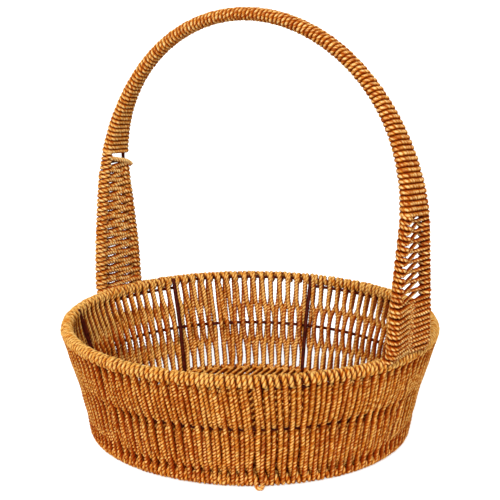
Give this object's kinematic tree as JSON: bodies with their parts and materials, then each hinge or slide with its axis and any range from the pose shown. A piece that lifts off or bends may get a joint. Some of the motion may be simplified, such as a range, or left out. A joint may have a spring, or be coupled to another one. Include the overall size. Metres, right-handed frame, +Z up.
{
  "type": "woven storage basket",
  "caption": "Round flared storage basket of twisted cord wound over a dark wire frame, open at the top, with a tall fixed arched handle.",
  "frame": {"origin": "middle of the resting face under the floor", "axes": "+Z up; the handle stands in the XZ plane with its feet at +X and -X"},
  "size_m": [0.296, 0.2808, 0.3136],
  "materials": {
    "wall_cord": "matt twisted paper-like cord, golden orange-brown",
    "handle_cord": "matt twisted paper-like cord, golden orange-brown, wound close",
    "frame_wire": "dark brown satin paint on steel wire"
  },
  "bodies": {
    "root": {"top_ring": "frame_wire", "middle_ring": "frame_wire", "bottom_ring": "frame_wire", "rib_1": "frame_wire", "rib_2": "frame_wire", "rib_3": "frame_wire", "rib_4": "frame_wire", "rib_5": "frame_wire", "rib_6": "frame_wire", "rib_7": "frame_wire", "floor_bar_1": "frame_wire", "floor_bar_2": "frame_wire", "floor_bar_3": "frame_wire", "right_stay": "frame_wire", "left_stay": "frame_wire", "wall_panel_1": "wall_cord", "wall_panel_2": "wall_cord", "wall_panel_3": "wall_cord", "wall_panel_4": "wall_cord", "wall_panel_5": "wall_cord", "wall_panel_6": "wall_cord", "wall_panel_7": "wall_cord", "floor_lower_mat": "wall_cord", "floor_upper_mat": "wall_cord", "wall_knot": "wall_cord", "front_handle_wire": "frame_wire", "rear_handle_wire": "frame_wire", "right_spreader": "frame_wire", "left_spreader": "frame_wire", "right_leg_lacing": "handle_cord", "left_leg_lacing": "handle_cord", "grip_winding": "handle_cord", "handle_knot": "handle_cord"}
  },
  "joints": []
}
